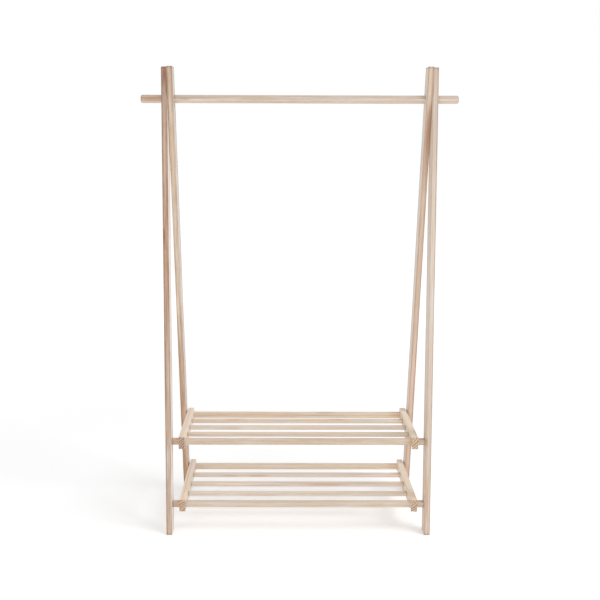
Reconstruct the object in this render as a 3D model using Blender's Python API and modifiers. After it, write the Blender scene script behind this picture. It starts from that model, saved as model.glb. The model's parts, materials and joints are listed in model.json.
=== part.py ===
# Clothes rack of solid wood. Each end is a pair of crossed legs, a round hanging rail runs
# through both crossings, and two slatted shelves sit on crossbars between the legs.
# Metres, +Z up, front towards -Y, origin on the floor under the middle of the rack.

import math

import bmesh
import bpy
from mathutils import Matrix, Vector

# Hanging rail
rail_diameter = 0.025
rail_length = 0.992
rail_height = 1.388
rail_end_radius = 0.004
rail_sides = 48

# Legs: the front pair stands outside the rear pair, and they cross on the rail,
# which runs out past them by its overhang at each end
rail_overhang = 0.066
leg_thickness = 0.018
leg_width = 0.040
leg_above_rail = 0.097
leg_side_gap = 0.0008
leg_edge_radius = 0.0018
foot_spread = 0.324

# Shelf heights are those of the crossbars' middles
lower_shelf_height = 0.096
shelf_spacing = 0.207
crossbar_side = 0.018
crossbar_edge_radius = 0.0010
side_rail_thickness = 0.020
side_rail_height = 0.040
side_rail_overhang = 0.008
side_rail_edge_radius = 0.0015
side_rail_to_leg = 0.005
slat_depth = 0.018
slat_height = 0.012
slat_edge_radius = 0.0015
slats_per_shelf = 3
notch_clearance = 0.0006

# Pieces that touch stand this far apart
seat_gap = 0.0003

# Screws: a crossbar's go in through the legs, a slat's through the side rails,
# and the rail's through the backs of the front legs
crossbar_screw_diameter = 0.005
crossbar_screw_head = 0.010
crossbar_screw_bite = 0.032
slat_screw_diameter = 0.0035
slat_screw_head = 0.007
slat_screw_bite = 0.024
rail_screw_diameter = 0.003
rail_screw_head = 0.006
rail_screw_bite = 0.011
screw_recess = 0.0005
screw_steps = 12

# Sizes that follow from the ones above
lean_slope = foot_spread / 2 / rail_height
lean_angle = math.atan(lean_slope)
rail_radius = rail_diameter / 2
front_leg_x = rail_length / 2 - rail_overhang - leg_thickness / 2
rear_leg_x = front_leg_x - leg_thickness - leg_side_gap
side_rail_outer_x = rear_leg_x - leg_thickness / 2 - side_rail_to_leg
side_rail_x = side_rail_outer_x - side_rail_thickness / 2
shelf_heights = {"lower": lower_shelf_height, "upper": lower_shelf_height + shelf_spacing}
sides = {"left": -1, "right": 1}

# Colours of the wood, as the light and the darker boards show it
pale_wood = (0.68, 0.55, 0.45)
warm_wood = (0.53, 0.35, 0.26)
rail_wood = (0.67, 0.54, 0.44)
screw_steel = (0.55, 0.52, 0.46)


def clear_scene():
    for item in list(bpy.data.objects):
        bpy.data.objects.remove(item, do_unlink=True)


def new_collection(name):
    collection = bpy.data.collections.new(name)
    bpy.context.scene.collection.children.link(collection)
    return collection


def new_material(name, colour, roughness, metallic=0.0):
    material = bpy.data.materials.new(name)
    material.use_nodes = True
    shader = material.node_tree.nodes["Principled BSDF"]
    shader.inputs["Base Color"].default_value = (*colour, 1.0)
    shader.inputs["Roughness"].default_value = roughness
    shader.inputs["Metallic"].default_value = metallic
    material.diffuse_color = (*colour, 1.0)
    return material


def new_object(name, mesh, collection):
    item = bpy.data.objects.new(name, mesh)
    collection.objects.link(item)
    return item


def mesh_from(bm, name):
    mesh = bpy.data.meshes.new(name)
    bm.to_mesh(mesh)
    bm.free()
    return mesh


def block_mesh(name, size):
    bm = bmesh.new()
    bmesh.ops.create_cube(bm, size=1.0)
    bmesh.ops.scale(bm, vec=size, verts=bm.verts)
    return mesh_from(bm, name)


def make_cutter(item):
    item.hide_render = True
    item.display_type = "WIRE"
    return item


def cut(item, cutter):
    boolean = item.modifiers.new(cutter.name, "BOOLEAN")
    boolean.operation = "DIFFERENCE"
    boolean.solver = "EXACT"
    boolean.object = cutter


def round_edges(item, radius):
    bevel = item.modifiers.new("eased edges", "BEVEL")
    bevel.width = radius
    bevel.segments = 2
    bevel.limit_method = "ANGLE"


def turned(name, profile, steps, collection):
    # profile runs from the top of the axis down the outer side to the bottom of the axis
    bm = bmesh.new()
    points = [bm.verts.new((radius, 0.0, height)) for radius, height in profile]
    for upper, lower in zip(points, points[1:]):
        bm.edges.new((upper, lower))
    item = new_object(name, mesh_from(bm, name), collection)
    screw = item.modifiers.new("turn", "SCREW")
    screw.axis = "Z"
    screw.angle = 2 * math.pi
    screw.steps = steps
    screw.render_steps = steps
    screw.use_merge_vertices = True
    screw.merge_threshold = 0.00001
    screw.use_smooth_shade = True
    return item


def face_along(direction):
    # a rotation that turns +Z to the direction
    return Vector(direction).to_track_quat("Z", "Y").to_euler()


def leg_offset(height):
    # distance of a leg's middle line from the plane of the rail, at a height above the floor
    return foot_spread / 2 * (1 - height / rail_height)


def rail_bore():
    bm = bmesh.new()
    radius = rail_radius + seat_gap
    bmesh.ops.create_cone(
        bm, cap_ends=True, segments=rail_sides, radius1=radius, radius2=radius, depth=rail_length
    )
    item = new_object("rail_bore", mesh_from(bm, "rail_bore"), cutters)
    item.location = (0.0, 0.0, rail_height)
    item.rotation_euler = face_along((1, 0, 0))
    return make_cutter(item)


def hanging_rail():
    half = rail_length / 2
    arc = [math.radians(90 - step * 90 / 4) for step in range(5)]
    inner = rail_radius - rail_end_radius
    top = [(inner + rail_end_radius * math.cos(a), half - rail_end_radius * (1 - math.sin(a))) for a in arc]
    bottom = [(radius, -height) for radius, height in reversed(top)]
    item = turned("hanging_rail", [(0.0, half)] + top + bottom + [(0.0, -half)], rail_sides, parts)
    item.location = (0.0, 0.0, rail_height)
    item.rotation_euler = face_along((1, 0, 0))
    item.data.materials.append(new_material("rail_wood", rail_wood, 0.55))
    return item


def leg(row, side):
    # row is front or rear; the ends are cut level, so the leg is a box sheared to its lean
    sign = 1 if row == "front" else -1
    height = rail_height + leg_above_rail
    bm = bmesh.new()
    bmesh.ops.create_cube(bm, size=1.0)
    bmesh.ops.scale(bm, vec=(leg_thickness, leg_width / math.cos(lean_angle), height), verts=bm.verts)
    bmesh.ops.translate(bm, vec=(0.0, 0.0, height / 2 - rail_height), verts=bm.verts)
    shear = Matrix.Identity(4)
    shear[1][2] = sign * lean_slope
    bmesh.ops.transform(bm, matrix=shear, verts=bm.verts)
    name = f"{row}_leg_{side}"
    item = new_object(name, mesh_from(bm, name), parts)
    item.location = (sides[side] * (front_leg_x if row == "front" else rear_leg_x), 0.0, rail_height)
    colour = warm_wood if side == "left" else pale_wood
    item.data.materials.append(new_material(name + "_wood", colour, 0.55))
    round_edges(item, leg_edge_radius)
    return item


def crossbar(level, row, leg_x):
    sign = -1 if row == "front" else 1
    height = shelf_heights[level]
    length = 2 * (leg_x - leg_thickness / 2 - seat_gap)
    name = f"{level}_{row}_crossbar"
    item = new_object(name, block_mesh(name, (length, crossbar_side, crossbar_side)), parts)
    item.location = (0.0, sign * leg_offset(height), height)
    item.data.materials.append(new_material(name + "_wood", pale_wood, 0.55))
    round_edges(item, crossbar_edge_radius)
    return item


def crossbar_notch(level, row):
    # the slot that a crossbar leaves in both side rails, open at the bottom
    sign = -1 if row == "front" else 1
    height = shelf_heights[level]
    top = height + crossbar_side / 2 + seat_gap
    bottom = height - side_rail_height
    width = crossbar_side + 2 * notch_clearance
    name = f"{level}_{row}_notch"
    item = new_object(name, block_mesh(name, (2 * front_leg_x, width, top - bottom)), cutters)
    item.location = (0.0, sign * leg_offset(height), (top + bottom) / 2)
    return make_cutter(item)


def side_rail(level, side):
    height = shelf_heights[level]
    length = 2 * (leg_offset(height) + crossbar_side / 2 + side_rail_overhang)
    name = f"{level}_side_rail_{side}"
    item = new_object(name, block_mesh(name, (side_rail_thickness, length, side_rail_height)), parts)
    item.location = (sides[side] * side_rail_x, 0.0, height)
    item.data.materials.append(new_material(name + "_wood", pale_wood, 0.55))
    round_edges(item, side_rail_edge_radius)
    return item


def slat(level, number):
    # the slats share out the space between the two crossbars
    height = shelf_heights[level]
    pitch = 2 * leg_offset(height) / (slats_per_shelf + 1)
    length = 2 * (side_rail_x - side_rail_thickness / 2 - seat_gap)
    name = f"{level}_slat_{number}"
    item = new_object(name, block_mesh(name, (length, slat_depth, slat_height)), parts)
    item.location = (0.0, -leg_offset(height) + number * pitch, height)
    item.data.materials.append(new_material(name + "_wood", pale_wood, 0.55))
    round_edges(item, slat_edge_radius)
    return item


def screw_and_hole(name, face, outward, diameter, head, length):
    # a countersunk wood screw whose head lies just under the face, and the hole it leaves
    head_height = (head - diameter) / 2
    tip = diameter
    radius = diameter / 2
    profile = [
        (0.0, 0.0),
        (head / 2, 0.0),
        (radius, -head_height),
        (radius, -(length - tip)),
        (0.0, -length),
    ]
    wide = radius + seat_gap
    hole_profile = [
        (0.0, 4 * screw_recess),
        (head / 2 + seat_gap, 4 * screw_recess),
        (head / 2 + seat_gap, 0.0),
        (wide, -head_height - seat_gap),
        (wide, -(length - tip)),
        (0.0, -length - 2 * seat_gap),
    ]
    place = Vector(face) - screw_recess * Vector(outward)
    item = turned(name, profile, screw_steps, parts)
    hole = make_cutter(turned(name + "_hole", hole_profile, screw_steps, cutters))
    for each in (item, hole):
        each.location = place
        each.rotation_euler = face_along(outward)
    item.data.materials.append(new_material(name + "_steel", screw_steel, 0.35, 1.0))
    return hole


def crossbar_screw(level, row, side, leg_x):
    sign = -1 if row == "front" else 1
    height = shelf_heights[level]
    face = (sides[side] * (leg_x + leg_thickness / 2), sign * leg_offset(height), height)
    return screw_and_hole(
        f"{level}_{row}_crossbar_screw_{side}", face, (sides[side], 0, 0),
        crossbar_screw_diameter, crossbar_screw_head, leg_thickness + crossbar_screw_bite,
    )


def slat_screw(level, number, side, height, depth):
    face = (sides[side] * side_rail_outer_x, depth, height)
    return screw_and_hole(
        f"{level}_slat_{number}_screw_{side}", face, (sides[side], 0, 0),
        slat_screw_diameter, slat_screw_head, side_rail_thickness + slat_screw_bite,
    )


def rail_screw(side):
    # square to the back of the front leg, and aimed at the middle of the rail
    outward = Vector((0.0, math.cos(lean_angle), -math.sin(lean_angle)))
    face = Vector((sides[side] * front_leg_x, 0.0, rail_height)) + outward * (leg_width / 2)
    length = leg_width / 2 - rail_radius + rail_screw_bite
    return screw_and_hole(
        f"rail_screw_{side}", face, outward, rail_screw_diameter, rail_screw_head, length
    )


def build_frame():
    rail = hanging_rail()
    bore = rail_bore()
    legs = {}
    for side in sides:
        for row in ("front", "rear"):
            legs[row, side] = leg(row, side)
            cut(legs[row, side], bore)
        hole = rail_screw(side)
        cut(legs["front", side], hole)
        cut(rail, hole)
    for level in shelf_heights:
        for row, leg_x in (("front", front_leg_x), ("rear", rear_leg_x)):
            bar = crossbar(level, row, leg_x)
            for side in sides:
                hole = crossbar_screw(level, row, side, leg_x)
                cut(legs[row, side], hole)
                cut(bar, hole)


def build_shelf(level):
    rails = {side: side_rail(level, side) for side in sides}
    for row in ("front", "rear"):
        notch = crossbar_notch(level, row)
        for rail in rails.values():
            cut(rail, notch)
    for number in range(1, slats_per_shelf + 1):
        bar = slat(level, number)
        for side in sides:
            hole = slat_screw(level, number, side, bar.location.z, bar.location.y)
            cut(rails[side], hole)
            cut(bar, hole)


clear_scene()
parts = new_collection("clothes_rack")
cutters = new_collection("cutters")
build_frame()
for shelf_level in shelf_heights:
    build_shelf(shelf_level)
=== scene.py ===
import json
import math

import bmesh
import bpy
from mathutils import Euler, Matrix, Vector

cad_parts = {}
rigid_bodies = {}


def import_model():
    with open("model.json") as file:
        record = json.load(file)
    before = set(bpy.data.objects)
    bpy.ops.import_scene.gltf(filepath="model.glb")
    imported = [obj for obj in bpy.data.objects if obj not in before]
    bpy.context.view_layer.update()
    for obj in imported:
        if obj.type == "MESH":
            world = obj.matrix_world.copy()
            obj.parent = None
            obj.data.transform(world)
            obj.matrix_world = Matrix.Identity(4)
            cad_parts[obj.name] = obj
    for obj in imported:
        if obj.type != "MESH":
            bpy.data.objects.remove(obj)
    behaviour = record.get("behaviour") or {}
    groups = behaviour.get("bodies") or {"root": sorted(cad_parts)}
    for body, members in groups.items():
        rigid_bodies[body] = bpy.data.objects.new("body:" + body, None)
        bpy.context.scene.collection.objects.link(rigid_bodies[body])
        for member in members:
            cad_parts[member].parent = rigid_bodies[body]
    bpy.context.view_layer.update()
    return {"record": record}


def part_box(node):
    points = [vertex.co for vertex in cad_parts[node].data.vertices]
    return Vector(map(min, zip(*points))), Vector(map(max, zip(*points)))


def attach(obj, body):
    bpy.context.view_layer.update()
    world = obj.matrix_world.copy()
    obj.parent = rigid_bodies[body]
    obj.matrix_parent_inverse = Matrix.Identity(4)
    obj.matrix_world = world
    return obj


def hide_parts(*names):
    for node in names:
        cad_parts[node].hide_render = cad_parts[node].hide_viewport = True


# Clothes rack of solid pale wood: crossed legs, a round hanging rail, two slatted shelves.
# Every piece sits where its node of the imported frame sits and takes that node's place.

for leftOver in list(bpy.data.objects):
    bpy.data.objects.remove(leftOver)
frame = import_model()
slotOf = {part["node"]: part["material_slot"] for part in frame["record"]["subparts"]}
bodyOf = {
    node: body
    for body, members in frame["record"]["behaviour"]["bodies"].items()
    for node in members
}
print("frame loaded:", len(slotOf), "nodes")

rack = {
    "railHeight": 1.388,   # middle of the hanging rail above the floor
    "footOut": 0.162,      # foot's middle, in front of or behind the rail
    "boreRadius": 0.0128,  # hole for the rail in each leg
    "notchPlay": 0.0006,   # room beside a crossbar in its notch
    "seatGap": 0.0003,     # between pieces that touch
    "legWidth": 0.040,
    "easedFrom": 50,       # degrees: cut edges sharper than this are eased
    "sharpFrom": 38,       # and edges sharper than this aren't shaded smooth
}
origin = (0.0, 0.0, 0.0)


def put(tree, socket, value):
    # a number or tuple is set on the socket, anything else is linked to it
    if isinstance(value, (int, float, tuple)):
        socket.default_value = value
    else:
        tree.links.new(value, socket)


def setInputs(tree, node, **values):
    for label, value in values.items():
        put(tree, node.inputs[label], value)
    return node.outputs


def math1(tree, operation, *values):
    node = tree.nodes.new("ShaderNodeMath")
    node.operation = operation
    for socket, value in zip(node.inputs, values):
        put(tree, socket, value)
    return node.outputs[0]


def times(tree, first, second):
    return math1(tree, "MULTIPLY", first, second)


def math3(tree, operation, *values):
    node = tree.nodes.new("ShaderNodeVectorMath")
    node.operation = operation
    for socket, value in zip(node.inputs, values):
        put(tree, socket, value)
    return node.outputs["Value"] if operation in ("LENGTH", "DOT_PRODUCT") else node.outputs["Vector"]


def split(tree, vector):
    node = tree.nodes.new("ShaderNodeSeparateXYZ")
    put(tree, node.inputs[0], vector)
    return node.outputs


def join(tree, x, y, z):
    node = tree.nodes.new("ShaderNodeCombineXYZ")
    for socket, value in zip(node.inputs, (x, y, z)):
        put(tree, socket, value)
    return node.outputs[0]


def cloudNoise(tree, vector, detail=2.0, roughness=0.5):
    noise = tree.nodes.new("ShaderNodeTexNoise")
    return setInputs(tree, noise, Vector=vector, Scale=1.0, Detail=detail, Roughness=roughness)


def fade(tree, value, start, end, first=0.0, last=1.0):
    # smooth step from first to last as value goes from start to end
    node = tree.nodes.new("ShaderNodeMapRange")
    node.interpolation_type = "SMOOTHSTEP"
    labels = ("Value", "From Min", "From Max", "To Min", "To Max")
    for label, number in zip(labels, (value, start, end, first, last)):
        put(tree, node.inputs[label], number)
    return node.outputs["Result"]


def blendColours(tree, share, first, second, how="MIX"):
    node = tree.nodes.new("ShaderNodeMix")
    node.data_type = "RGBA"
    node.blend_type = how
    put(tree, node.inputs[0], share)
    put(tree, node.inputs[6], first if not isinstance(first, tuple) else (*first, 1.0))
    put(tree, node.inputs[7], second if not isinstance(second, tuple) else (*second, 1.0))
    return node.outputs[2]


def tinted(tree, share, colour, tint):
    # the colour multiplied with the tint, by the share
    return blendColours(tree, share, colour, tint, "MULTIPLY")


def weighted(tree, total, *terms):
    # adds each term's value times its weight to the total
    for value, weight in terms:
        total = math1(tree, "MULTIPLY_ADD", value, weight, total)
    return total


def centred(tree, noise):
    return math1(tree, "SUBTRACT", noise, 0.5)


def grainNoise(tree, board, stretch, shift=origin, detail=2.0, roughness=0.5):
    # noise with so many cells to the metre along the grain and across it
    return cloudNoise(tree, math3(tree, "MULTIPLY_ADD", board, stretch, shift), detail, roughness)


def addRelief(tree, shader, height, strength, distance):
    bump = tree.nodes.new("ShaderNodeBump")
    setInputs(tree, bump, Strength=strength, Distance=distance, Height=height)
    tree.links.new(bump.outputs["Normal"], shader.inputs["Normal"])


def newMaterial(name):
    material = bpy.data.materials.new(name)
    material.use_nodes = True
    return material, material.node_tree, material.node_tree.nodes["Principled BSDF"]


def newGroup(name, takes, gives):
    # takes has each input's default, and every group also takes Board, the place in board coordinates
    tree = bpy.data.node_groups.new(name, "ShaderNodeTree")
    for label, value in {"Board": origin, **takes}.items():
        kind = "NodeSocketVector" if isinstance(value, tuple) else "NodeSocketFloat"
        socket = tree.interface.new_socket(name=label, in_out="INPUT", socket_type=kind)
        socket.default_value = value
    for label in gives:
        tree.interface.new_socket(name=label, in_out="OUTPUT", socket_type="NodeSocketFloat")
    return tree, tree.nodes.new("NodeGroupInput").outputs, tree.nodes.new("NodeGroupOutput").inputs


def useGroup(tree, group, **values):
    node = tree.nodes.new("ShaderNodeGroup")
    node.node_tree = group
    return setInputs(tree, node, **values)


# What the wood shows is built from groups that every board shares.
# Board coordinates are metres from the board's middle, with X along the grain.

figure = {
    # noise cells to the metre along the grain and across it, then detail and roughness of the noise
    "fibres": {
        "Streak": ((7.0, 430.0, 430.0), 4.0, 0.6),
        "Hair": ((38.0, 2600.0, 2600.0), 2.0, 0.6),
        "Cloud": ((3.2, 42.0, 42.0), 2.0, 0.5),
        "Band": ((2.4, 165.0, 165.0), 2.0, 0.5),
        "Patch": ((13.0, 150.0, 150.0), 3.0, 0.6),
    },
    # noise cells to the metre
    "flecks": (150.0, 2300.0, 2300.0),
    "frayedEnds": (16.0, 700.0, 700.0),
    "ringDrift": (1.6, 11.0, 11.0),
    "ringRagged": (22.0, 420.0, 420.0),
    "ringShift": (3.7, 1.0, 1.9),   # of the noise, for each step of a board's seed
    "fibreShift": (1.0, 2.3, 5.1),
    "pores": (40.0, 2100.0, 2100.0),
    "endBandLine": (30.0, 900.0, 900.0),
    "handled": (28.0, 160.0, 160.0),
    "rays": (90.0, 60.0),           # cells to the radian round the pith, and to the metre away from it
    # knots, in knot sizes: how drawn out along the grain, then where each part begins and ends
    "swept": (0.20, 1.0, 1.0), "nearby": (0.60, 1.0, 1.0),
    "pushed": (0.2, 3.4), "pushMost": 1.7, "heart": (0.5, 1.1), "halo": (0.4, 2.6),
    # brown streaks and painted shade, in reaches from the middle
    "streakFades": (0.25, 1.05), "streakFray": 0.9,
    # rings: parts of a ring where the late wood grows and ends, and how uneven the rings are
    "lateGrows": (0.25, 0.86), "lateEnds": (0.91, 1.0),
    "unevenEvery": 0.45, "uneven": 1.5, "ragged": 0.22,
    "sapBlend": 0.0022,             # metres from heartwood to sapwood
    # cut ends
    "acrossFibres": (0.55, 0.9), "poreSize": (0.12, 0.34), "rayLimits": (0.45, 0.7),
    # the darker band near a cut end: where it starts, and how ragged its edge is
    "endBandStart": 0.0002, "endBandRagged": 0.006,
    "fleckLimits": (0.66, 0.76),
    "handledLimits": (0.35, 0.65), "handledLeast": 0.35, "edgeFrom": 0.1,
}


def boardShift(tree, seed, steps):
    # moves each board to another part of the noise
    return join(tree, *(times(tree, seed, step) for step in steps))


def fromPith(tree, take):
    # how far a point is from the pith, across the board and up
    place = split(tree, take["Board"])
    across = math1(tree, "SUBTRACT", place[1], take["PithAcross"])
    return across, math1(tree, "SUBTRACT", place[2], take["PithUp"])


def makeKnot():
    # a small knot: its dark heart, and how far it pushes the rings round it aside
    tree, take, give = newGroup(
        "knot", {"Knot": (0.0, 0.0, 9.0), "KnotSize": 0.003}, ["Push", "Heart", "Halo"]
    )
    away = math3(tree, "SUBTRACT", take["Board"], take["Knot"])
    swept, nearby = (
        math1(tree, "DIVIDE", math3(tree, "LENGTH", math3(tree, "MULTIPLY", away, drawn)), take["KnotSize"])
        for drawn in (figure["swept"], figure["nearby"])
    )
    push = fade(tree, swept, *figure["pushed"], figure["pushMost"], 0.0)
    put(tree, give["Push"], times(tree, push, take["KnotSize"]))
    put(tree, give["Heart"], fade(tree, nearby, *figure["heart"], 1.0, 0.0))
    put(tree, give["Halo"], fade(tree, swept, *figure["halo"], 1.0, 0.0))
    return tree


def makeStreakAndShade():
    # a long brown mark, frayed at its ends: streaks in the wood, and painted shade and shadows on some bars
    # and a leg
    tree, take, give = newGroup(
        "streakAndShade", {"Spot": (0.0, 0.0, 9.0), "Reach": (0.1, 0.003, 0.003), "Seed": 0.0}, ["Dark"]
    )
    away = math3(tree, "DIVIDE", math3(tree, "SUBTRACT", take["Board"], take["Spot"]), take["Reach"])
    shift = join(tree, take["Seed"], 0.0, 0.0)
    frayed = grainNoise(tree, take["Board"], figure["frayedEnds"], shift, 3.0, 0.6)["Fac"]
    reach = weighted(tree, math3(tree, "LENGTH", away), (centred(tree, frayed), figure["streakFray"]))
    put(tree, give["Dark"], fade(tree, reach, *figure["streakFades"], 1.0, 0.0))
    return tree


def makeGrowthRings():
    # rings round a pith that runs beside or through the board, with the dark late wood at each ring's edge
    tree, take, give = newGroup(
        "growthRings",
        {
            "PithAcross": 0.03, "PithUp": 0.02, "RingWidth": 0.004, "Wander": 0.006, "Seed": 0.0, "Push": 0.0,
            "SapFrom": 9.0,
        },
        ["Late", "Sap"],
    )
    board, seed = take["Board"], take["Seed"]
    shift = boardShift(tree, seed, figure["ringShift"])
    drift = split(tree, grainNoise(tree, board, figure["ringDrift"], shift)["Color"])
    across, upward = fromPith(tree, take)
    across = weighted(tree, across, (centred(tree, drift[0]), take["Wander"]))
    upward = weighted(tree, upward, (centred(tree, drift[1]), take["Wander"]))
    radius = math3(tree, "LENGTH", join(tree, 0.0, across, upward))
    count = math1(tree, "DIVIDE", math1(tree, "ADD", radius, take["Push"]), take["RingWidth"])
    uneven = join(tree, times(tree, count, figure["unevenEvery"]), seed, 0.0)
    uneven = cloudNoise(tree, uneven)["Fac"]
    ragged = grainNoise(tree, board, figure["ringRagged"], shift, 3.0)["Fac"]
    count = weighted(tree, count, (uneven, figure["uneven"]), (ragged, figure["ragged"]))
    part = math1(tree, "FRACT", count)
    grown, ended = fade(tree, part, *figure["lateGrows"]), fade(tree, part, *figure["lateEnds"], 1.0, 0.0)
    put(tree, give["Late"], times(tree, grown, ended))
    pastHeart = math1(tree, "SUBTRACT", radius, take["SapFrom"])
    put(tree, give["Sap"], fade(tree, pastHeart, 0.0, figure["sapBlend"]))
    return tree


def makeFibres():
    # fine streaks, small dark flecks, patches, bands and broad clouds, all drawn out along the grain
    tree, take, give = newGroup(
        "fibres", {"Seed": 0.0}, ["Streak", "Hair", "Fleck", "Cloud", "Band", "Patch"]
    )
    board, seed = take["Board"], take["Seed"]
    shift = boardShift(tree, seed, figure["fibreShift"])
    for label, (stretch, detail, roughness) in figure["fibres"].items():
        put(tree, give[label], grainNoise(tree, board, stretch, shift, detail, roughness)["Fac"])
    flecks = grainNoise(tree, board, figure["flecks"], shift, 1.0)["Fac"]
    put(tree, give["Fleck"], fade(tree, flecks, *figure["fleckLimits"]))
    return tree


def makeEndGrain():
    # where a face cuts across the fibres it is darker, with open pores and fine rays from the pith
    tree, take, give = newGroup(
        "endGrain",
        {
            "HalfLength": 0.5, "SoakDepth": 0.005, "Facing": 0.0, "PithAcross": 0.03, "PithUp": 0.02,
            "Seed": 0.0,
        },
        ["End", "Pore", "Ray", "Soak"],
    )
    board = take["Board"]
    end = fade(tree, math1(tree, "ABSOLUTE", take["Facing"]), *figure["acrossFibres"])
    across, upward = fromPith(tree, take)
    angle = math1(tree, "ARCTAN2", upward, across)
    length = math3(tree, "LENGTH", join(tree, 0.0, across, upward))
    turned, outward = (times(tree, *pair) for pair in zip((angle, length), figure["rays"]))
    rays = cloudNoise(tree, join(tree, turned, outward, take["Seed"]))["Fac"]
    pores, cells = tree.nodes.new("ShaderNodeTexVoronoi"), math3(tree, "MULTIPLY", board, figure["pores"])
    pores = setInputs(tree, pores, Vector=cells, Scale=1.0)["Distance"]
    dots = fade(tree, pores, *figure["poreSize"], 1.0, 0.0)
    # a darker band at a cut end, reaching a few millimetres further along some fibres than others
    ragged = grainNoise(tree, board, figure["endBandLine"])["Fac"]
    depth = math1(tree, "SUBTRACT", take["HalfLength"], math1(tree, "ABSOLUTE", split(tree, board)[0]))
    depth = weighted(tree, depth, (centred(tree, ragged), -figure["endBandRagged"]))
    put(tree, give["Soak"], fade(tree, depth, figure["endBandStart"], take["SoakDepth"], 1.0, 0.0))
    put(tree, give["End"], end)
    put(tree, give["Pore"], times(tree, dots, end))
    put(tree, give["Ray"], times(tree, fade(tree, rays, *figure["rayLimits"]), end))
    return tree


def makeEdgeWear():
    # how near a point of the surface is to an edge of the board, broken up by handling
    tree, take, give = newGroup(
        "edgeWear", {"Half": (0.1, 0.1, 0.1), "Reach": 0.003, "Seed": 0.0}, ["Edge"]
    )
    inside = split(tree, math3(tree, "SUBTRACT", take["Half"], math3(tree, "ABSOLUTE", take["Board"])))
    lesser = math1(tree, "MINIMUM", inside[0], inside[1])
    greater = math1(tree, "MAXIMUM", inside[0], inside[1])
    second = math1(tree, "MAXIMUM", lesser, math1(tree, "MINIMUM", greater, inside[2]))
    shift = join(tree, take["Seed"], 0.0, 0.0)
    handled = grainNoise(tree, take["Board"], figure["handled"], shift, 3.0)["Fac"]
    handled = fade(tree, handled, *figure["handledLimits"], figure["handledLeast"], 1.0)
    near = fade(tree, math1(tree, "DIVIDE", second, take["Reach"]), figure["edgeFrom"], 1.0, 1.0, 0.0)
    put(tree, give["Edge"], times(tree, near, handled))
    return tree


knotGroup = makeKnot()
streakAndShade = makeStreakAndShade()
growthRings = makeGrowthRings()
fibres = makeFibres()
endGrain = makeEndGrain()
edgeWear = makeEdgeWear()
print("wood groups built")

finish = {
    "roughness": 0.56,       # planed, with a thin matt oil
    "relief": 0.00025,       # height of the grain's relief, metres
    "reliefStrength": 0.45,
    "endBandDepth": 0.005,      # how far the darker band at a cut end reaches, metres
    "wearReach": 0.0026,     # how far wear goes in from an edge, metres
    "paintedLightFaceDepth": 0.0025, # how far in the painted light on a face begins, and where it's full, metres
    "paintedLightFaceFull": 0.0005,
    "farOff": 9.0,           # no sapwood: it would begin this far from the pith
    "lateEnd": 0.90,         # how strongly rings show on a cut end
    "hair": 0.035,           # how much lighter and darker the finest fibres are
    "streakLimits": (0.25, 0.75), "hairLimits": (0.3, 0.7),
    # the two tints of each kind of unevenness, and where in its noise they're reached
    "Band": ((1.10, 1.15, 1.19), (0.89, 0.83, 0.77), 0.38, 0.62),
    "Patch": ((1.09, 1.14, 1.18), (0.91, 0.86, 0.80), 0.36, 0.64),
    "Cloud": ((1.025, 0.995, 0.97), (0.975, 1.01, 1.05), 0.30, 0.70),
    "lateTint": (0.80, 0.66, 0.53),
    "lateEndTint": (0.40, 0.27, 0.19),
    "streakAndShadeTint": (0.75, 0.56, 0.44),
    # the tint of each mark, and the share of it that shows
    "Fleck": ((0.80, 0.66, 0.53), 0.35),
    "End": ((0.88, 0.80, 0.73), 0.80),
    "Soak": ((0.66, 0.59, 0.52), 0.80),
    "Pore": ((0.55, 0.42, 0.33), 0.50),
    "Ray": ((1.12, 1.08, 1.02), 0.18),
    "halo": ((0.78, 0.62, 0.56), 0.60),
    "wear": ((0.90, 0.84, 0.78), 0.12),
    "knot": ((0.36, 0.20, 0.12), 0.85),    # its heart's own colour
    # what each adds to the roughness
    "streakRough": 0.16, "lateRough": -0.06, "endRough": 0.14, "wearRough": -0.08,
    # and to the relief
    "hairHeight": 0.45, "streakHeight": 0.35, "lateHeight": 0.22,
    "poreHeight": -0.50, "fleckHeight": -0.25,
}


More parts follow.
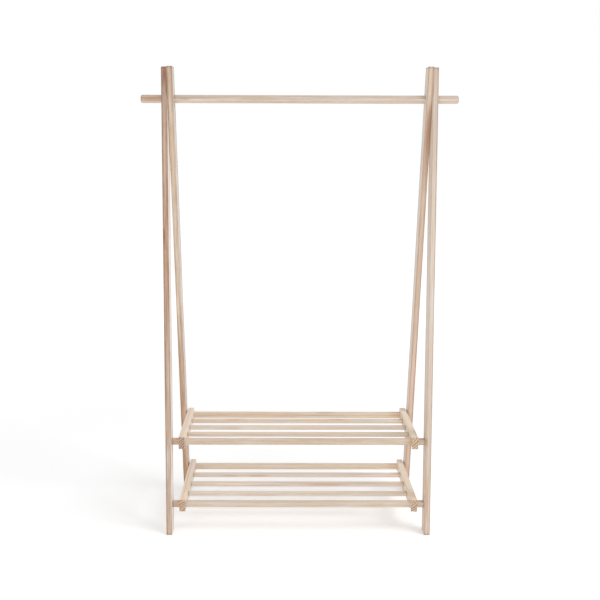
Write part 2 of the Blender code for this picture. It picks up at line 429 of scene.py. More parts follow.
def woodMaterial(name, centre, turn, half, board):
    # board gives the tones along the grain, how the board was cut from its log, and its own marks;
    # half is half of its length and of its two other sides
    material, tree, shader = newMaterial(name)
    half = tuple(half)
    coordinates = tree.nodes.new("ShaderNodeTexCoord")
    mapping = tree.nodes.new("ShaderNodeMapping")
    mapping.vector_type = "TEXTURE"
    mapping.inputs["Location"].default_value = centre
    mapping.inputs["Rotation"].default_value = turn
    tree.links.new(coordinates.outputs["Object"], mapping.inputs["Vector"])
    place = mapping.outputs["Vector"]
    along, across, upward = split(tree, place)
    square = place
    if "slope" in board:
        # measured from the level cuts of a leaning board
        square = join(tree, weighted(tree, along, (across, -board["slope"])), across, upward)
    grainAxis = tuple(Euler(turn).to_matrix() @ Vector((1.0, 0.0, 0.0)))
    endOn = math3(tree, "DOT_PRODUCT", coordinates.outputs["Normal"], grainAxis)
    seed = board["seed"]
    cut = {"PithAcross": board["pith"][0], "PithUp": board["pith"][1], "Seed": seed}
    push, heart, halo = 0.0, 0.0, 0.0
    for spot, size in board.get("knots", ()):
        knot = useGroup(tree, knotGroup, Board=place, Knot=spot, KnotSize=size)
        push = math1(tree, "ADD", knot["Push"], push)
        heart = math1(tree, "MAXIMUM", knot["Heart"], heart)
        halo = math1(tree, "MAXIMUM", knot["Halo"], halo)
    rings = useGroup(
        tree, growthRings, Board=place, RingWidth=board["ring"], Wander=board["wander"], Push=push,
        SapFrom=board.get("sapFrom", finish["farOff"]), **cut,
    )
    threads = useGroup(tree, fibres, Board=place, Seed=seed)
    endBand = board.get("endBandDepth", finish["endBandDepth"])
    end = useGroup(tree, endGrain, Board=square, HalfLength=half[0], SoakDepth=endBand, Facing=endOn, **cut)
    edge = useGroup(tree, edgeWear, Board=square, Half=half, Reach=finish["wearReach"], Seed=seed)

    # the board's tones, evenly spread from one end of the grain to the other
    colour, steps = board["tones"][0], len(board["tones"]) - 1
    for step, tone in enumerate(board["tones"][1:]):
        start = half[0] * (2 * step / steps - 1)
        colour = blendColours(tree, fade(tree, along, start, start + 2 * half[0] / steps), colour, tone)
    if "sapTone" in board:
        colour = blendColours(tree, rings["Sap"], colour, board["sapTone"])
    if "paintedLightFace" in board:
        # painted light: one wide face is tinted lighter or darker for how the lamps fall on it;
        # side is 1 for the +Y face, -1 for the other
        side, tint = board["paintedLightFace"]
        outward = times(tree, across, side)
        pale = fade(tree, outward, half[1] - finish["paintedLightFaceDepth"], half[1] - finish["paintedLightFaceFull"])
        colour = tinted(tree, pale, colour, tint)
    for label, share in (("Band", board["bands"]), ("Patch", board["patches"]), ("Cloud", 1.0)):
        first, last, start, stop = finish[label]
        tint = blendColours(tree, fade(tree, threads[label], start, stop), first, last)
        colour = tinted(tree, share, colour, tint)
    streak = fade(
        tree, threads["Streak"], *finish["streakLimits"], 1.0 - board["streak"], 1.0 + board["streak"]
    )
    hair = fade(tree, threads["Hair"], *finish["hairLimits"], 1.0 - finish["hair"], 1.0 + finish["hair"])
    shade = times(tree, streak, hair)
    colour = tinted(tree, 1.0, colour, join(tree, shade, shade, shade))
    lateTint = blendColours(tree, end["End"], finish["lateTint"], finish["lateEndTint"])
    lateShare = fade(tree, end["End"], 0.0, 1.0, board["late"], board.get("lateEnd", finish["lateEnd"]))
    colour = tinted(tree, times(tree, rings["Late"], lateShare), colour, lateTint)
    endTint, endShare = finish["End"]
    # a board's own end tint, on the side rails, holds painted light on that end as well as the end grain's
    # tint
    marks = [(threads["Fleck"], *finish["Fleck"]), (end["End"], board.get("endTint", endTint), endShare)]
    marks += [(end[label], *finish[label]) for label in ("Soak", "Pore", "Ray")]
    # brown streaks, with the painted shade and shadows that are drawn the same way
    for spot, reach, strength in board.get("streaks", ()):
        dark = useGroup(tree, streakAndShade, Board=place, Spot=spot, Reach=reach, Seed=seed)["Dark"]
        marks.append((dark, finish["streakAndShadeTint"], strength))
    if "knots" in board:
        marks.append((halo, *finish["halo"]))
    for mask, tint, share in marks:
        colour = tinted(tree, times(tree, mask, share), colour, tint)
    if "knots" in board:
        knotColour, share = finish["knot"]
        colour = blendColours(tree, times(tree, heart, share), colour, knotColour)
    wearTint, share = finish["wear"]
    colour = tinted(tree, times(tree, edge["Edge"], share), colour, wearTint)
    put(tree, shader.inputs["Base Color"], colour)

    rough = weighted(
        tree, finish["roughness"],
        (centred(tree, threads["Streak"]), finish["streakRough"]), (rings["Late"], finish["lateRough"]),
        (end["End"], finish["endRough"]), (edge["Edge"], finish["wearRough"]),
    )
    put(tree, shader.inputs["Roughness"], rough)
    height = weighted(
        tree, 0.0,
        (threads["Hair"], finish["hairHeight"]), (threads["Streak"], finish["streakHeight"]),
        (rings["Late"], finish["lateHeight"]), (end["Pore"], finish["poreHeight"]),
        (threads["Fleck"], finish["fleckHeight"]),
    )
    addRelief(tree, shader, height, finish["reliefStrength"], finish["relief"])
    return material


def newPiece(name, bm, material=None):
    mesh = bpy.data.meshes.new(name)
    bm.to_mesh(mesh)
    bm.free()
    piece = bpy.data.objects.new(name, mesh)
    bpy.context.scene.collection.objects.link(piece)
    if material:
        mesh.materials.append(material)
    return piece


def bake(piece):
    # applies the piece's modifiers to its mesh
    bpy.context.view_layer.update()
    graph = bpy.context.evaluated_depsgraph_get()
    mesh = bpy.data.meshes.new_from_object(piece.evaluated_get(graph))
    piece.modifiers.clear()
    piece.data = mesh


def carve(piece, cutters):
    for cutter in cutters:
        cut = piece.modifiers.new(cutter.name, "BOOLEAN")
        cut.operation = "DIFFERENCE"
        cut.solver = "MANIFOLD"
        cut.object = cutter
    bake(piece)
    for cutter in cutters:
        bpy.data.objects.remove(cutter)


def breakEdges(piece, width):
    # takes the sharpness off cut edges, as sandpaper does
    ease = piece.modifiers.new("eased", "BEVEL")
    ease.width = width
    ease.segments = 2
    ease.limit_method = "ANGLE"
    ease.angle_limit = math.radians(rack["easedFrom"])
    ease.use_clamp_overlap = True
    bake(piece)


def settle(piece, node, sharp=rack["sharpFrom"]):
    # shades the piece, which takes the node's place and moves with its body
    mesh = piece.data
    mesh.polygons.foreach_set("use_smooth", [True] * len(mesh.polygons))
    mesh.set_sharp_from_angle(angle=math.radians(sharp))
    flat = piece.modifiers.new("flat faces stay flat", "WEIGHTED_NORMAL")
    flat.keep_sharp = True
    flat.weight = 90
    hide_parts(node)
    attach(piece, bodyOf[node])


def block(size):
    bm = bmesh.new()
    bmesh.ops.create_cube(bm, size=1.0)
    bmesh.ops.scale(bm, vec=size, verts=bm.verts)
    return bm


def plank(size, longEdge, endEdge, grain, shear=0.0):
    # a board with its long edges eased more than its ends; grain is the index of its long axis
    bm = block(size)
    if shear:
        lean = Matrix.Identity(4)
        lean[1][2] = shear
        bmesh.ops.transform(bm, matrix=lean, verts=bm.verts)
    longEdges = [e for e in bm.edges if abs((e.verts[0].co - e.verts[1].co)[grain]) > size[grain] / 2]
    eased = {"profile": 0.5, "affect": "EDGES", "material": -1}
    bmesh.ops.bevel(bm, geom=longEdges, offset=longEdge, segments=4, **eased)
    nearEnd = size[grain] / 2 - 0.0001
    rim = [e for e in bm.edges if all(abs(v.co[grain]) > nearEnd for v in e.verts)]
    bmesh.ops.bevel(bm, geom=rim, offset=endEdge, segments=3, **eased)
    return bm


def rod(radius, depth, steps):
    bm = bmesh.new()
    bmesh.ops.create_cone(bm, cap_ends=True, segments=steps, radius1=radius, radius2=radius, depth=depth)
    return bm


def spun(profile, steps):
    # turns a profile of (radius, height) points about Z into a closed solid
    bm = bmesh.new()
    points = [bm.verts.new((radius, 0.0, height)) for radius, height in profile]
    edges = [bm.edges.new(pair) for pair in zip(points, points[1:])]
    bmesh.ops.spin(
        bm, geom=points + edges, axis=(0.0, 0.0, 1.0), cent=origin,
        angle=2 * math.pi, steps=steps, use_merge=True,
    )
    bmesh.ops.remove_doubles(bm, verts=bm.verts, dist=0.000002)
    bmesh.ops.recalc_face_normals(bm, faces=bm.faces)
    return bm


def facing(direction, spot):
    # turns +Z to the direction and moves the origin to the spot
    turn = Vector(direction).to_track_quat("Z", "Y").to_matrix().to_4x4()
    return Matrix.Translation(spot) @ turn


screws = {
    # recess is the driver's shape: a hexagon key's or a cross
    "crossbar": {
        "shank": 0.005, "head": 0.010, "length": 0.050, "recess": "hexagon", "wide": 0.004, "deep": 0.0022,
    },
    "slat": {
        "shank": 0.0035, "head": 0.007, "length": 0.044, "recess": "cross", "wide": 0.004, "deep": 0.0017,
    },
    "rail": {
        "shank": 0.003, "head": 0.006, "length": 0.0185, "recess": "cross", "wide": 0.0034, "deep": 0.0014,
    },
    "steps": 48,           # round a screw or its hole
    "sharpFrom": 30,
    # rim: how far in and down it's eased; neck and point: part of the shank's radius, and height
    "flatTop": 0.55, "rim": (0.00035, 0.00025), "neck": (1.05, 0.0006), "point": (0.25, 0.0002),
    "sunk": 0.0005,        # heads lie this far under the wood
    "holeOut": 0.003,      # their holes are cut from this far outside it
    "turnStep": 0.9,       # radians from one screw's recess to the next one's
    "bladeThick": 0.22,    # of a cross driver, as a part of its width
    "bladeTip": (0.45, 0.6, 1.0),
    "steelColour": (0.60, 0.57, 0.51),
    "tarnishColour": (0.47, 0.43, 0.37),
    "tarnishLimits": (0.35, 0.7),
    "roughness": 0.33,
    "tarnishRough": 0.3,
    "scratches": (900.0, 5200.0, 1300.0),   # noise cells to the metre
    "tarnish": (420.0, 420.0, 420.0),
    "scratchStrength": 0.25,
    "scratchDepth": 0.00005,
}
leanSlope = rack["footOut"] / rack["railHeight"]
leanAngle = math.atan(leanSlope)


def screwKind(node):
    return "rail" if node.startswith("rail") else "slat" if "slat" in node else "crossbar"


def screwSeat(node):
    # the middle of the head's top, and the way out of the wood
    low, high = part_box(node)
    middle = (low + high) / 2
    if screwKind(node) != "rail":
        side = 1 if middle.x > 0 else -1
        return Vector((high.x if side > 0 else low.x, middle.y, middle.z)), Vector((side, 0.0, 0.0))
    outward = Vector((0.0, math.cos(leanAngle), -math.sin(leanAngle)))
    onLeg = Vector((middle.x, 0.0, rack["railHeight"])) + outward * (rack["legWidth"] / 2)
    return onLeg - outward * screws["sunk"], outward


def steelMaterial():
    material, tree, shader = newMaterial("platedSteel")
    where = tree.nodes.new("ShaderNodeTexCoord").outputs["Object"]
    scratches = cloudNoise(tree, math3(tree, "MULTIPLY", where, screws["scratches"]), 3.0, 0.6)["Fac"]
    tarnish = cloudNoise(tree, math3(tree, "MULTIPLY", where, screws["tarnish"]))["Fac"]
    dulled = fade(tree, tarnish, *screws["tarnishLimits"])
    colour = blendColours(tree, dulled, screws["steelColour"], screws["tarnishColour"])
    put(tree, shader.inputs["Base Color"], colour)
    rough = weighted(tree, screws["roughness"], (centred(tree, tarnish), screws["tarnishRough"]))
    setInputs(tree, shader, Metallic=1.0, Roughness=rough)
    addRelief(tree, shader, scratches, screws["scratchStrength"], screws["scratchDepth"])
    return material


def screwMesh(kind, steel):
    sizes = screws[kind]
    head, shank = sizes["head"] / 2, sizes["shank"] / 2
    taper, length = head - shank, sizes["length"]
    rim, neck, point = screws["rim"], screws["neck"], screws["point"]
    # flat top with an eased rim, countersink, shank and point
    profile = [
        (0.0, 0.0), (head * screws["flatTop"], 0.0), (head - rim[0], 0.0), (head, -rim[1]),
        (shank * neck[0], -taper), (shank, -taper - neck[1]), (shank, -length + 2 * shank),
        (shank * point[0], -length + point[1]), (0.0, -length),
    ]
    piece = newPiece("screw_" + kind, spun(profile, screws["steps"]), steel)
    cutters = []
    if sizes["recess"] == "hexagon":
        key = rod(sizes["wide"] / math.sqrt(3), 2 * sizes["deep"], 6)
        cutters.append(newPiece("hexagonKey", key))
    else:
        for turn in (0.0, math.pi / 2):
            bm = block((sizes["wide"], sizes["wide"] * screws["bladeThick"], 2 * sizes["deep"]))
            tip = [v for v in bm.verts if v.co.z < 0]
            bmesh.ops.scale(bm, vec=screws["bladeTip"], verts=tip)
            bmesh.ops.rotate(bm, verts=bm.verts, matrix=Matrix.Rotation(turn, 3, "Z"))
            cutters.append(newPiece("crossBlade", bm))
    carve(piece, cutters)
    mesh = piece.data
    bpy.data.objects.remove(piece)
    return mesh


def screwHole(node):
    # countersunk hole, a little wider than the screw all over and open at the wood's face
    sizes = screws[screwKind(node)]
    head, shank, gap = sizes["head"] / 2, sizes["shank"] / 2, rack["seatGap"]
    taper, start, bottom = head - shank, screws["holeOut"], -sizes["length"] - gap
    profile = [
        (0.0, start), (head + gap, start), (head + gap, -gap),
        (shank + gap, -taper - gap), (shank + gap, bottom), (0.0, bottom),
    ]
    spot, outward = screwSeat(node)
    bm = spun(profile, screws["steps"])
    bmesh.ops.transform(bm, matrix=facing(outward, spot), verts=bm.verts)
    return newPiece(node + "_hole", bm)


def driveScrews():
    steel = steelMaterial()
    meshes = {kind: screwMesh(kind, steel) for kind in ("crossbar", "slat", "rail")}
    nodes = [node for node in slotOf if "screw" in node]
    for number, node in enumerate(nodes):
        spot, outward = screwSeat(node)
        mesh = meshes[screwKind(node)].copy()
        # each was driven to a stop of its own, so its recess stands at its own angle
        mesh.transform(facing(outward, spot) @ Matrix.Rotation(number * screws["turnStep"], 4, "Z"))
        screw = bpy.data.objects.new(node + "_steel", mesh)
        bpy.context.scene.collection.objects.link(screw)
        settle(screw, node, screws["sharpFrom"])
    print("screws driven:", len(nodes))


legs = {
    "longEdge": 0.0020,
    "endEdge": 0.0020,
    "easedCuts": 0.0004,
    "wood": {"wander": 0.010, "endBandDepth": 0.009},    # the darker band reaches further in at these ends
    "boreLength": 0.06,    # of the cutter, more than the leg's thickness
    "boreSteps": 96,
    # for each leg: tones from the foot to the top, how it was cut, its knots (spot and size)
    # and its brown streaks (spot, reach and strength); the right rear leg's one streak is a painted shadow
    "front_leg_left": {
        "tones": [
            (0.590, 0.410, 0.290), (0.595, 0.462, 0.370), (0.588, 0.422, 0.325),
            (0.500, 0.315, 0.213), (0.508, 0.350, 0.257), (0.530, 0.380, 0.297),
        ],
        "sapTone": (0.910, 0.845, 0.775), "pith": (-0.060, 0.002), "sapFrom": 0.0412,
        "ring": 0.0036, "late": 0.50, "streak": 0.095, "bands": 0.70, "patches": 0.80,
        "seed": 4.0,
        "knots": [((-0.225, -0.0190, 0.0052), 0.0016), ((0.211, -0.0192, 0.0052), 0.0030)],
        "streaks": [
            ((-0.010, -0.020, 0.0002), (0.120, 0.005, 0.0030), 0.70),
            ((0.370, -0.020, -0.0045), (0.100, 0.005, 0.0028), 0.45),
            ((0.225, -0.020, 0.0050), (0.036, 0.005, 0.0034), 0.85),
            ((0.268, -0.020, 0.0005), (0.024, 0.005, 0.0034), 0.60),
            ((0.298, -0.020, -0.0045), (0.026, 0.005, 0.0034), 0.50),
            ((-0.456, -0.020, -0.0045), (0.020, 0.005, 0.0030), 0.50),
            ((0.732, -0.020, -0.0010), (0.058, 0.010, 0.0100), 0.95),
            ((0.695, -0.020, -0.0060), (0.045, 0.010, 0.0050), 0.50),
            ((0.188, -0.020, -0.0045), (0.030, 0.005, 0.0034), 0.40),
        ],
    },
    "rear_leg_left": {
        "tones": [
            # the sixth tone, near the top, is set lighter: painted light against the shade that falls there
            (0.570, 0.375, 0.250), (0.560, 0.370, 0.248), (0.595, 0.420, 0.292), (0.712, 0.574, 0.458),
            (0.712, 0.566, 0.440), (0.830, 0.700, 0.568), (0.555, 0.415, 0.308),
        ],
        "sapTone": (0.790, 0.690, 0.610), "pith": (-0.055, 0.010), "sapFrom": 0.0385,
        "ring": 0.0038, "late": 0.50, "streak": 0.080, "bands": 0.50, "patches": 0.70,
        "seed": 9.0,
        "streaks": [
            ((-0.340, -0.020, 0.0000), (0.100, 0.005, 0.0030), 0.40),
            ((-0.365, -0.020, -0.0050), (0.070, 0.005, 0.0040), 0.45),
            ((-0.070, -0.020, -0.0030), (0.060, 0.005, 0.0040), 0.50),
            ((0.200, -0.020, -0.0010), (0.050, 0.005, 0.0030), 0.50),
        ],
    },
    "front_leg_right": {
        "tones": [
            (0.730, 0.600, 0.490), (0.710, 0.593, 0.494), (0.750, 0.648, 0.556), (0.702, 0.599, 0.510),
            (0.692, 0.572, 0.477),
        ],
        "pith": (0.030, 0.040),
        "ring": 0.0044, "late": 0.36, "streak": 0.060, "bands": 0.28, "patches": 0.30,
        "seed": 15.0,
        "streaks": [
            ((-0.627, -0.020, 0.0020), (0.090, 0.006, 0.0042), 0.70),
            ((-0.440, -0.020, 0.0055), (0.022, 0.007, 0.0045), 0.90),
        ],
    },
    "rear_leg_right": {
        "tones": [
            (0.780, 0.605, 0.488), (0.740, 0.562, 0.458), (0.734, 0.556, 0.428), (0.738, 0.572, 0.440),
            (0.695, 0.548, 0.428),
        ],
        "sapTone": (0.770, 0.675, 0.595), "pith": (-0.052, -0.012), "sapFrom": 0.0375,
        "ring": 0.0042, "late": 0.42, "streak": 0.070, "bands": 0.36, "patches": 0.35,
        "seed": 22.0,
        # painted shadow of the front leg on this leg near the top, where it passes behind
        "streaks": [((0.555, -0.020, -0.0012), (0.125, 0.007, 0.0078), 0.90)],
    },
}


def makeLeg(node):
    low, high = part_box(node)
    height = high.z - low.z
    slope = leanSlope if node.startswith("front") else -leanSlope
    width = (high.y - low.y) - abs(slope) * height
    bm = plank((high.x - low.x, width, height), legs["longEdge"], legs["endEdge"], 2, shear=slope)
    middle = Vector(((low.x + high.x) / 2, slope * (height / 2 - rack["railHeight"]), height / 2))
    bmesh.ops.translate(bm, vec=middle, verts=bm.verts)
    angle = math.atan(slope)
    # X of the board runs up the leg, Y to the back and Z to the left
    along = Vector((0.0, math.sin(angle), math.cos(angle)))
    back = Vector((0.0, math.cos(angle), -math.sin(angle)))
    turn = Matrix((along, back, along.cross(back))).transposed().to_euler()
    half = (height / 2 / math.cos(angle), width * math.cos(angle) / 2, (high.x - low.x) / 2)
    board = dict(legs["wood"], slope=slope, **legs[node])
    material = woodMaterial(node + "_wood", middle, turn, half, board)
    leg = newPiece(node + "_board", bm, material)
    bore = rod(rack["boreRadius"], legs["boreLength"], legs["boreSteps"])
    spot = (middle.x, 0.0, rack["railHeight"])
    bmesh.ops.transform(bore, matrix=facing((1, 0, 0), spot), verts=bore.verts)
    cutters = [newPiece("railBore", bore)]
    row, side = node.split("_leg_")
    holes = [f"{level}_{row}_crossbar_screw_{side}" for level in ("lower", "upper")]
    if row == "front":
        holes.append("rail_screw_" + side)
    cutters += [screwHole(hole) for hole in holes]
    carve(leg, cutters)
    breakEdges(leg, legs["easedCuts"])
    settle(leg, node)


rail = {
    "endRadius": 0.0042,   # of the rounded rim at each end
    "endSteps": 8,
    "steps": 96,           # round the rail
    "sharpFrom": 60,
    # tones from the left end to the right
    "tones": [
        (0.545, 0.410, 0.310), (0.595, 0.480, 0.390), (0.630, 0.525, 0.440), (0.645, 0.530, 0.430),
        (0.605, 0.500, 0.425),
    ],
    "sapTone": (0.755, 0.648, 0.560), "pith": (0.003, 0.030), "sapFrom": 0.0325,
    "ring": 0.0043, "wander": 0.008, "late": 0.42, "streak": 0.080, "bands": 0.42, "patches": 0.50,
    "seed": 31.0,
    # brown streaks: spot, reach and strength
    "streaks": [
        ((-0.460, -0.0125, -0.0020), (0.070, 0.011, 0.0085), 1.0),
        ((-0.365, -0.0125, -0.0010), (0.035, 0.007, 0.0050), 0.6),
    ],
}


def makeRail():
    low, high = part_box("hanging_rail")
    radius, half = (high.z - low.z) / 2, (high.x - low.x) / 2
    rim, steps = rail["endRadius"], rail["endSteps"]
    inner, middle = radius - rim, (0.0, 0.0, (low.z + high.z) / 2)
    profile = [(0.0, half), (inner * 0.5, half)]
    for step in range(steps + 1):
        angle = math.radians(90 - step * 90 / steps)
        profile.append((inner + rim * math.cos(angle), half - rim * (1 - math.sin(angle))))
    profile += [(r, -h) for r, h in reversed(profile)]
    bm = spun(profile, rail["steps"])
    bmesh.ops.transform(bm, matrix=facing((1, 0, 0), middle), verts=bm.verts)
    material = woodMaterial("railWood", middle, origin, (half, radius, radius), rail)
    settle(newPiece("hanging_rail_dowel", bm, material), "hanging_rail", rail["sharpFrom"])


bars = {
    "longEdge": {"crossbar": 0.0014, "slat": 0.0017},
    "endEdge": 0.0006,
    "streak": 0.060,
    # least value, step and number of values, which take turns from bar to bar
    "varied": {
        "ring": (0.0040, 0.0003, 4), "wander": (0.009, 0.002, 3),
        "late": (0.36, 0.04, 3), "bands": (0.28, 0.06, 2),
    },
    "pithAway": (0.030, 0.034), "pithTurn": 2.4,    # metres, and radians from one bar to the next
    "seed": 40.0, "seedStep": 6.5,
    "patches": 0.22,
    # bars on which patches show more
    "patchy": {"upper_front_crossbar": 0.60, "upper_rear_crossbar": 0.35, "lower_rear_crossbar": 0.30},
    # colour at the left end, then at the right end; the rear crossbars and lower slats are set lighter,
    # partly painted light against the shade that the front bars and the upper shelf cast on them
    "tones": {
        "lower_front_crossbar": ((0.695, 0.595, 0.495), (0.720, 0.610, 0.500)),
        "lower_rear_crossbar": ((0.830, 0.698, 0.560), (0.850, 0.723, 0.585)),
        "upper_front_crossbar": ((0.675, 0.557, 0.448), (0.690, 0.588, 0.484)),
        "upper_rear_crossbar": ((0.785, 0.652, 0.505), (0.810, 0.668, 0.525)),
        "lower_slat_1": ((0.855, 0.765, 0.680), (0.815, 0.705, 0.600)),
        "lower_slat_2": ((0.870, 0.770, 0.670), (0.850, 0.738, 0.635)),
        "lower_slat_3": ((0.860, 0.765, 0.660), (0.885, 0.765, 0.665)),
        "upper_slat_1": ((0.775, 0.651, 0.546), (0.765, 0.652, 0.540)),
        "upper_slat_2": ((0.812, 0.705, 0.604), (0.777, 0.677, 0.589)),
        "upper_slat_3": ((0.807, 0.643, 0.510), (0.787, 0.677, 0.556)),
    },
    # brown streaks on the front face: place along the bar, reach and strength
    "frontStreaks": {
        "lower_front_crossbar": [(-0.330, 0.070, 0.25), (0.235, 0.080, 0.40)],
        "upper_front_crossbar": [(-0.300, 0.060, 0.30), (0.362, 0.030, 0.40)],
        "lower_slat_1": [(-0.300, 0.080, 0.25), (-0.110, 0.150, 0.45), (0.080, 0.090, 0.25)],
        "lower_slat_2": [(-0.080, 0.120, 0.35), (0.090, 0.120, 0.50)],
        "lower_slat_3": [(-0.140, 0.050, 0.50), (-0.240, 0.040, 0.30)],
        "upper_slat_2": [(-0.235, 0.060, 0.50)],
    },
    "frontDeep": 0.004,    # how far they reach into the wood, and up and down
    "frontTall": {"crossbar": 0.009, "slat": 0.007},
    # other brown marks, grain streaks and painted shade: spot from the bar's middle, reach and strength
    "streaks": {
        # painted shade on the stub between the left leg and the side rail
        "lower_front_crossbar": [((-0.402, -0.009, 0.0), (0.032, 0.018, 0.018), 0.75)],
        "lower_rear_crossbar": [
            # painted shadow of the right side rail on the front, near the right end
            ((0.353, -0.009, 0.0), (0.040, 0.008, 0.009), 0.30),
            ((0.0, 0.0, 0.009), (0.070, 0.012, 0.004), 0.30),
        ],
        "upper_front_crossbar": [
            # painted shade on the stub between the left leg and the side rail
            ((-0.402, -0.009, 0.0), (0.032, 0.018, 0.018), 0.65),
            ((0.030, -0.009, 0.009), (0.050, 0.004, 0.004), 0.40),
        ],
        "upper_rear_crossbar": [
            # painted shadow of the right side rail on the front, near the right end
            ((0.353, -0.009, 0.0), (0.040, 0.008, 0.009), 0.30),
            ((0.060, -0.009, 0.001), (0.080, 0.006, 0.004), 0.25),
            ((0.100, 0.0, 0.009), (0.050, 0.012, 0.005), 0.60),
        ],
        "upper_slat_3": [
            ((-0.220, 0.0, 0.006), (0.050, 0.012, 0.004), 0.40),
            ((0.140, 0.0, 0.006), (0.040, 0.012, 0.004), 0.40),
        ],
    },
    # painted shadow of the right side rail on the tops at the right end: where from the bar's middle
    # and top, how far it reaches, and how strong it is on each bar
    "sideRailShadow": ((0.356, 0.0, 0.0025), (0.042, 0.014, 0.008)),
    "sideRailShadows": {
        "lower_rear_crossbar": 0.50, "upper_rear_crossbar": 0.70,
        "lower_slat_1": 0.35, "lower_slat_2": 0.40, "lower_slat_3": 0.65,
        "upper_slat_1": 0.20, "upper_slat_2": 0.45, "upper_slat_3": 0.55,
    },
}


def makeBar(node, number):
    kind = "crossbar" if "crossbar" in node else "slat"
    low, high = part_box(node)
    middle, half = (low + high) / 2, (high - low) / 2
    bm = plank(tuple(high - low), bars["longEdge"][kind], bars["endEdge"], 0)
    bmesh.ops.translate(bm, vec=middle, verts=bm.verts)
    streaks = list(bars["streaks"].get(node, ()))
    for right, length, strength in bars["frontStreaks"].get(node, ()):
        reach = (length, bars["frontDeep"], bars["frontTall"][kind])
        streaks.append(((right, -half.y, 0.0), reach, strength))
    # painted shadow of the right side rail on the top, near the bar's right end
    if node in bars["sideRailShadows"]:
        (right, back, above), reach = bars["sideRailShadow"]
        streaks.append(((right, back, half.z + above), reach, bars["sideRailShadows"][node]))
    turn = number * bars["pithTurn"]
    board = {
        "tones": bars["tones"][node], "streaks": streaks, "streak": bars["streak"],
        "patches": bars["patchy"].get(node, bars["patches"]),
        "seed": bars["seed"] + bars["seedStep"] * number,
        "pith": (bars["pithAway"][0] * math.cos(turn), bars["pithAway"][1] * math.sin(turn)),
    }
    for value, (least, step, count) in bars["varied"].items():
        board[value] = least + step * (number % count)
    material = woodMaterial(node + "_wood", middle, origin, half, board)
    settle(newPiece(node + "_bar", bm, material), node)


sideRails = {
    "longEdge": 0.0017,
    "endEdge": 0.0007,
    "easedCuts": 0.0003,
    "wood": {"wander": 0.006, "late": 0.40, "streak": 0.055, "bands": 0.28, "patches": 0.20},
    # where the pith is, across and up, the ring width and the seed, with their steps from board to board
    "pithAcross": 0.030, "acrossStep": 0.003, "pithUp": 0.038,
    "ring": 0.0074, "ringStep": 0.0002,
    "seed": 120.0, "seedStep": 8.0,
    # for each board: tones at its front and rear ends, tint of its inner face (painted light), tint of its
    # end (its end grain and painted light on that end) and how strongly rings show there
    "boards": {
        "lower_side_rail_left": (
            [(0.885, 0.745, 0.610), (0.895, 0.757, 0.631)], (1.05, 1.08, 1.09), (1.02, 0.97, 0.88), 0.92,
        ),
        "lower_side_rail_right": (
            [(0.867, 0.750, 0.610), (0.889, 0.773, 0.642)], (1.05, 1.07, 1.09), (1.08, 1.04, 1.04), 0.88,
        ),
        "upper_side_rail_left": (
            [(0.855, 0.721, 0.598), (0.866, 0.742, 0.632)], (1.13, 1.18, 1.25), (0.90, 0.81, 0.78), 0.92,
        ),
        "upper_side_rail_right": (
            [(0.862, 0.734, 0.588), (0.884, 0.773, 0.641)], (1.01, 0.98, 0.94), (1.15, 1.10, 1.06), 0.72,
        ),
    },
    "notchBelow": 0.03,    # its cutter starts this far under the crossbar
}


def notchCutter(node):
    # the slot over a crossbar, open at the bottom
    low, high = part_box(node)
    top, bottom = high.z + rack["seatGap"], low.z - sideRails["notchBelow"]
    bm = block((1.0, high.y - low.y + 2 * rack["notchPlay"], top - bottom))
    bmesh.ops.translate(bm, vec=(0.0, (low.y + high.y) / 2, (top + bottom) / 2), verts=bm.verts)
    return newPiece(node + "_notch", bm)


def makeSideRail(node, number):
    low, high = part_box(node)
    middle, size = (low + high) / 2, high - low
    bm = plank(tuple(size), sideRails["longEdge"], sideRails["endEdge"], 1)
    bmesh.ops.translate(bm, vec=middle, verts=bm.verts)
    level, side = node.split("_side_rail_")
    cut = 1 if number % 2 else -1   # from one side of the log or the other
    across = sideRails["pithAcross"] + sideRails["acrossStep"] * number
    tones, innerLightTint, endTint, lateEnd = sideRails["boards"][node]
    board = dict(
        sideRails["wood"], tones=tones, pith=(across * cut, sideRails["pithUp"] * cut),
        ring=sideRails["ring"] + sideRails["ringStep"] * number, endTint=endTint, lateEnd=lateEnd,
        seed=sideRails["seed"] + sideRails["seedStep"] * number,
        paintedLightFace=(-1 if side == "left" else 1, innerLightTint),
    )
    half = (size.y / 2, size.x / 2, size.z / 2)
    material = woodMaterial(node + "_wood", middle, (0.0, 0.0, math.pi / 2), half, board)
    piece = newPiece(node + "_board", bm, material)
    cutters = [notchCutter(f"{level}_{row}_crossbar") for row in ("front", "rear")]
    cutters += [screwHole(f"{level}_slat_{slat}_screw_{side}") for slat in (1, 2, 3)]
    carve(piece, cutters)
    breakEdges(piece, sideRails["easedCuts"])
    settle(piece, node)


for node in slotOf:
    if "_leg_" in node:
        makeLeg(node)
print("legs made")
makeRail()
print("hanging rail turned")
for number, node in enumerate(bars["tones"]):
    makeBar(node, number)
print("crossbars and slats made")
for number, node in enumerate(sideRails["boards"]):
    makeSideRail(node, number)
print("side rails made")
driveScrews()


studio = {
    "ambient": 0.66,
    "floorReach": 30.0,         # metres from the rack to the floor's edge
    "floorColour": (0.96, 0.96, 0.96),
    # what the camera sees of the floor besides its lit surface, near the rack and far from the lamps
    "nearGlow": 0.19,
    "farGlow": 0.37,
    "glowGrows": (1.2, 3.6),    # metres from the rack
    "key": {
        "spot": (4.2, -2.2, 5.4), "aim": (0.0, 0.0, 0.7),
        "size": 3.2, "power": 163.0, "colour": (0.985, 1.0, 1.02),
    },
    "fill": {
        "spot": (-3.7, -4.5, 0.9), "aim": (0.0, 0.0, 0.6),
        "size": 3.0, "power": 78.0, "colour": (0.99, 1.0, 1.01),
    },
}


def seenRays(tree):
    # 1 for rays from the camera, and for those that metal or glass sends on
    rays = tree.nodes.new("ShaderNodeLightPath").outputs
    seen = math1(tree, "MAXIMUM", rays["Is Camera Ray"], rays["Is Glossy Ray"])
    return math1(tree, "MAXIMUM", seen, rays["Is Transmission Ray"])


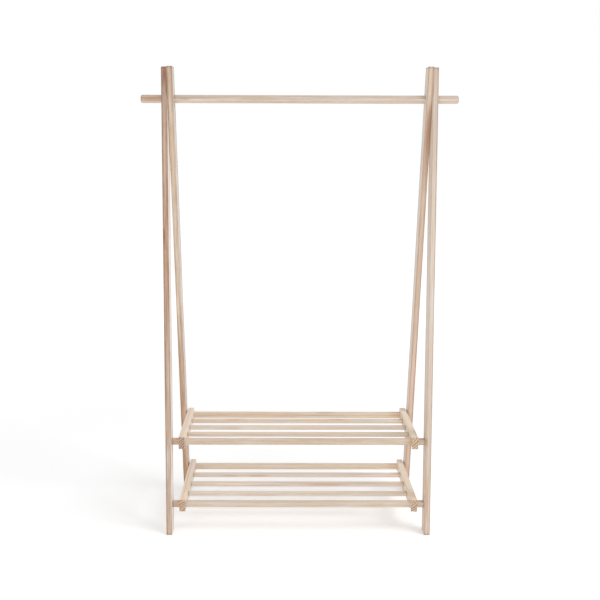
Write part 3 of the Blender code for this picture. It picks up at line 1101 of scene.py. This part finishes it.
def makeFloor():
    bm = bmesh.new()
    bmesh.ops.create_grid(bm, x_segments=1, y_segments=1, size=studio["floorReach"])
    material, tree, shader = newMaterial("paleFloor")
    tree.nodes.remove(shader)
    plain = tree.nodes.new("ShaderNodeBsdfDiffuse")
    plain.inputs["Color"].default_value = (*studio["floorColour"], 1.0)
    glow = tree.nodes.new("ShaderNodeEmission")
    away = math3(tree, "LENGTH", tree.nodes.new("ShaderNodeTexCoord").outputs["Object"])
    strength = fade(tree, away, *studio["glowGrows"], studio["nearGlow"], studio["farGlow"])
    put(tree, glow.inputs["Strength"], times(tree, seenRays(tree), strength))
    both = tree.nodes.new("ShaderNodeAddShader")
    tree.links.new(plain.outputs[0], both.inputs[0])
    tree.links.new(glow.outputs[0], both.inputs[1])
    tree.links.new(both.outputs[0], tree.nodes["Material Output"].inputs["Surface"])
    floor = newPiece("floor", bm, material)


def makeBackdrop():
    world = bpy.data.worlds.new("studio")
    bpy.context.scene.world = world
    world.use_nodes = True
    tree = world.node_tree
    tree.nodes.clear()
    ambient = tree.nodes.new("ShaderNodeBackground")
    ambient.inputs["Strength"].default_value = studio["ambient"]
    white = tree.nodes.new("ShaderNodeBackground")
    for background in (ambient, white):
        background.inputs["Color"].default_value = (1.0, 1.0, 1.0, 1.0)
    choose = tree.nodes.new("ShaderNodeMixShader")
    tree.links.new(seenRays(tree), choose.inputs[0])
    tree.links.new(ambient.outputs[0], choose.inputs[1])
    tree.links.new(white.outputs[0], choose.inputs[2])
    tree.links.new(choose.outputs[0], tree.nodes.new("ShaderNodeOutputWorld").inputs["Surface"])


def makeLamp(name):
    settings = studio[name]
    lamp = bpy.data.lights.new(name, "AREA")
    lamp.size = settings["size"]
    lamp.energy = settings["power"]
    lamp.color = settings["colour"]
    holder = bpy.data.objects.new(name, lamp)
    holder.location = settings["spot"]
    towards = Vector(settings["aim"]) - Vector(settings["spot"])
    holder.rotation_euler = towards.to_track_quat("-Z", "Y").to_euler()
    bpy.context.scene.collection.objects.link(holder)


camera = {
    "spot": (-0.0556, -2.5402, 1.2677),
    "down": 0.2093,        # radians below level
    "right": 0.0037,       # radians towards +X
    "roll": 0.0028,
    "sensor": 36.0,
    "lens": 47.175,
    "shiftX": 0.0259,      # the photograph's frame is a little off the lens's axis
    "shiftY": 0.0094,
}


def makeCamera():
    data = bpy.data.cameras.new("camera")
    data.sensor_width = camera["sensor"]
    data.lens = camera["lens"]
    data.shift_x = camera["shiftX"]
    data.shift_y = camera["shiftY"]
    holder = bpy.data.objects.new("camera", data)
    turn = (
        Matrix.Rotation(-camera["right"], 4, "Z")
        @ Matrix.Rotation(math.pi / 2 - camera["down"], 4, "X")
        @ Matrix.Rotation(camera["roll"], 4, "Z")
    )
    holder.matrix_world = Matrix.Translation(camera["spot"]) @ turn
    bpy.context.scene.collection.objects.link(holder)
    bpy.context.scene.camera = holder


makeFloor()
makeBackdrop()
makeLamp("key")
makeLamp("fill")
makeCamera()
bpy.context.scene.view_settings.view_transform = "Standard"
print("floor, lights and camera set")
